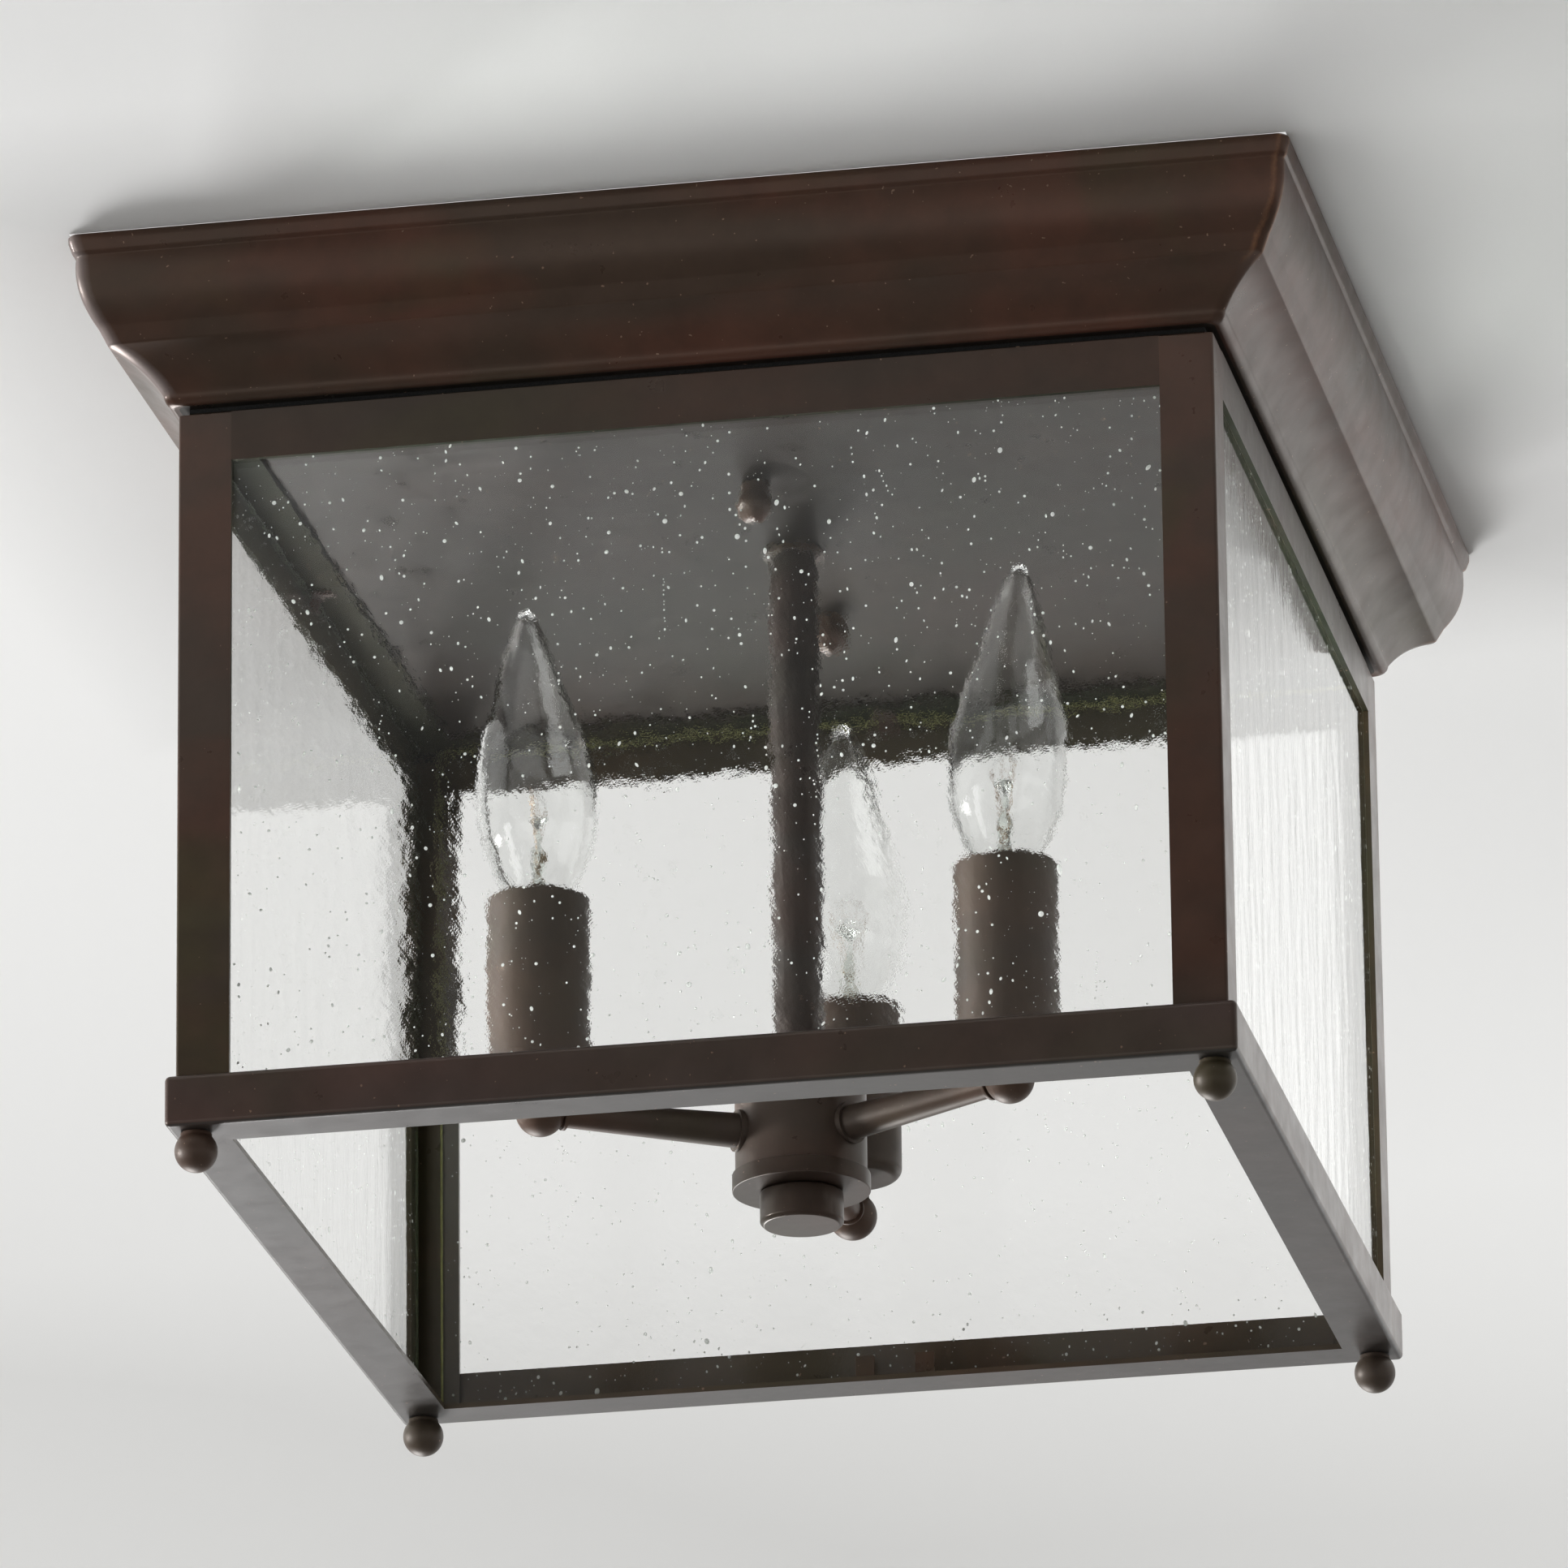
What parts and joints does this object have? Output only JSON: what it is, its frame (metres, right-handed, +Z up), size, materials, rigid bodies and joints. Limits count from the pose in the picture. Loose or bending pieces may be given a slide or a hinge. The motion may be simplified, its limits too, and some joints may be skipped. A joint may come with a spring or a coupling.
{
  "type": "porch ceiling lantern",
  "caption": "Square flush ceiling lantern: moulded canopy, angle-frame cage with seeded glass, open below, candle lamps on a central stem and ball finials.",
  "frame": {"origin": "on the ceiling plane, over the middle of the canopy and of the mounting strap", "axes": "+Z up into the ceiling, the lantern hangs towards -Z, front faces -Y, +X to the right seen from the front"},
  "size_m": [0.33, 0.33, 0.2554],
  "materials": {
    "zinc_steel": "zinc plated, satin",
    "green_screw": "green plated",
    "bronze": "dark bronze enamel, semi-gloss, with copper wear on edges",
    "plate_bronze": "dark bronze enamel, semi-gloss",
    "clip_steel": "dark bronze spring steel",
    "foam": "matt black closed-cell foam",
    "pane_glass": "clear seeded glass with small bubbles",
    "brass": "satin",
    "sleeve_bronze": "dark bronze enamel, satin",
    "socket_resin": "moulded, satin",
    "base_metal": "nickel plated",
    "bulb_glass": "clear blown glass with faint flutes",
    "bulb_wires": "bare wire on a glass stem",
    "lead_jacket": "satin",
    "earth_jacket": "satin",
    "block_resin": "moulded, satin"
  },
  "bodies": {
    "lantern": {"crossbar": "zinc_steel", "fixture_studs": "zinc_steel", "stud_nuts": "zinc_steel", "nipple_locknuts": "zinc_steel", "hub_bridge": "zinc_steel", "earth_screw": "green_screw", "canopy": "bronze", "top_frame": "bronze", "post_front_left": "bronze", "post_front_right": "bronze", "post_back_right": "bronze", "post_back_left": "bronze", "bottom_frame": "bronze", "corner_lugs": "bronze", "stem": "bronze", "stem_collar": "bronze", "hub": "bronze", "hub_cover": "bronze", "arm_left": "bronze", "arm_right": "bronze", "arm_back": "bronze", "knuckle_left": "bronze", "knuckle_right": "bronze", "knuckle_back": "bronze", "top_plate": "plate_bronze", "glass_clips": "clip_steel", "upper_clips": "clip_steel", "canopy_gasket": "foam", "pane_front": "pane_glass", "pane_right": "pane_glass", "pane_back": "pane_glass", "pane_left": "pane_glass", "stem_nipple": "brass", "socket_contacts": "brass", "sleeve_left": "sleeve_bronze", "sleeve_right": "sleeve_bronze", "sleeve_back": "sleeve_bronze", "socket_left": "socket_resin", "socket_right": "socket_resin", "socket_back": "socket_resin", "leads": "lead_jacket", "earth_lead": "earth_jacket", "terminal_block": "block_resin"},
    "base_left": {"bulb_base_left": "base_metal"},
    "bulb_left": {"bulb_glass_left": "bulb_glass", "bulb_mount_left": "bulb_wires"},
    "base_right": {"bulb_base_right": "base_metal"},
    "bulb_right": {"bulb_glass_right": "bulb_glass", "bulb_mount_right": "bulb_wires"},
    "base_back": {"bulb_base_back": "base_metal"},
    "bulb_back": {"bulb_glass_back": "bulb_glass", "bulb_mount_back": "bulb_wires"},
    "knob": {"hub_knob": "bronze"},
    "nut_front": {"cap_nut_front": "bronze"},
    "nut_back": {"cap_nut_back": "bronze"},
    "finial_front_left": {"finial_front_left": "bronze"},
    "finial_front_right": {"finial_front_right": "bronze"},
    "finial_back_right": {"finial_back_right": "bronze"},
    "finial_back_left": {"finial_back_left": "bronze"}
  },
  "joints": [
    {"name": "bulb_left_rise", "type": "slide", "parent": "lantern", "child": "base_left", "axis": [0, 0, 1], "range_m": [0, 0.009]},
    {"name": "bulb_left_turn", "type": "hinge", "parent": "base_left", "child": "bulb_left", "pos_m": [-0.06417, -0.03705, -0.1525], "axis": [0, 0, 1], "range_deg": [0, 1260]},
    {"name": "bulb_right_rise", "type": "slide", "parent": "lantern", "child": "base_right", "axis": [0, 0, 1], "range_m": [0, 0.009]},
    {"name": "bulb_right_turn", "type": "hinge", "parent": "base_right", "child": "bulb_right", "pos_m": [0.06417, -0.03705, -0.1525], "axis": [0, 0, 1], "range_deg": [0, 1260]},
    {"name": "bulb_back_rise", "type": "slide", "parent": "lantern", "child": "base_back", "axis": [0, 0, 1], "range_m": [0, 0.009]},
    {"name": "bulb_back_turn", "type": "hinge", "parent": "base_back", "child": "bulb_back", "pos_m": [0, 0.0741, -0.1525], "axis": [0, 0, 1], "range_deg": [0, 1260]},
    {"name": "knob_turn", "type": "hinge", "parent": "lantern", "child": "knob", "pos_m": [0, 0, -0.234], "axis": [0, 0, -1], "continuous": true},
    {"name": "nut_front_turn", "type": "hinge", "parent": "lantern", "child": "nut_front", "pos_m": [0, -0.054, -0.05], "axis": [0, 0, -1], "continuous": true},
    {"name": "nut_back_turn", "type": "hinge", "parent": "lantern", "child": "nut_back", "pos_m": [0, 0.054, -0.05], "axis": [0, 0, -1], "continuous": true},
    {"name": "finial_front_left_turn", "type": "hinge", "parent": "lantern", "child": "finial_front_left", "pos_m": [-0.1354, -0.1354, -0.2497], "axis": [0, 0, -1], "continuous": true},
    {"name": "finial_front_right_turn", "type": "hinge", "parent": "lantern", "child": "finial_front_right", "pos_m": [0.1354, -0.1354, -0.2497], "axis": [0, 0, -1], "continuous": true},
    {"name": "finial_back_right_turn", "type": "hinge", "parent": "lantern", "child": "finial_back_right", "pos_m": [0.1354, 0.1354, -0.2497], "axis": [0, 0, -1], "continuous": true},
    {"name": "finial_back_left_turn", "type": "hinge", "parent": "lantern", "child": "finial_back_left", "pos_m": [-0.1354, 0.1354, -0.2497], "axis": [0, 0, -1], "continuous": true}
  ],
  "couplings": [
    {"joint": "bulb_left_rise", "follows": "bulb_left_turn", "m_per_rad": 0.00040425},
    {"joint": "bulb_right_rise", "follows": "bulb_right_turn", "m_per_rad": 0.00040425},
    {"joint": "bulb_back_rise", "follows": "bulb_back_turn", "m_per_rad": 0.00040425}
  ]
}
